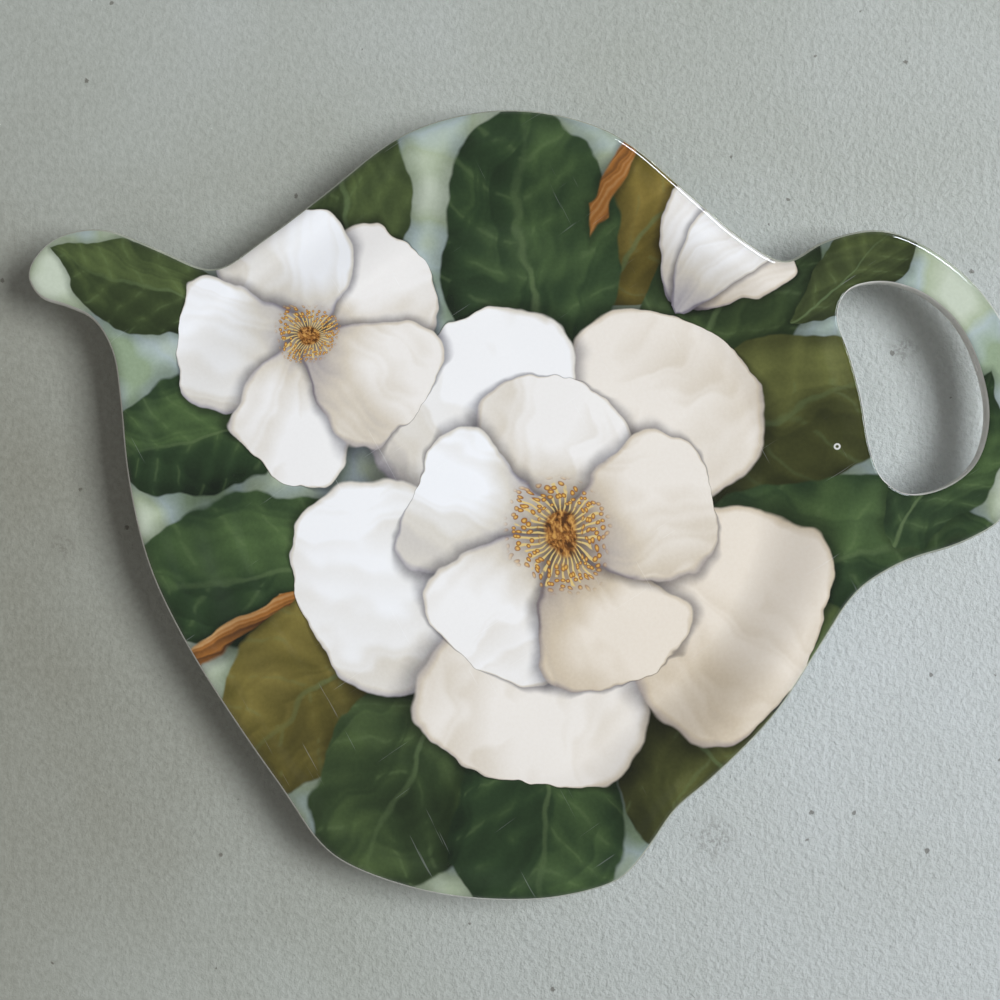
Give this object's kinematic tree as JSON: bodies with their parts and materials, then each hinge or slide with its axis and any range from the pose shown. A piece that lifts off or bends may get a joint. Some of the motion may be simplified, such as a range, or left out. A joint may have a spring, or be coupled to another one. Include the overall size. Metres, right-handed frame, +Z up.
{
  "type": "tea bag rest",
  "caption": "Shallow teapot-shaped dish with a spout tab, an open finger handle and a round foot ring, which holds a used tea bag.",
  "frame": {"origin": "middle of the bounding box, on the plane of the table", "axes": "+X from the spout's tip towards the handle, +Y from the teapot's bottom towards its lid, +Z up out of the dish"},
  "size_m": [0.1206, 0.0962, 0.009],
  "materials": {
    "white_melamine": "glossy moulded melamine",
    "printed_face": "printed foil under a clear glaze"
  },
  "bodies": {
    "root": {"moulded_dish": "white_melamine", "printed_foil": "printed_face"}
  },
  "joints": []
}
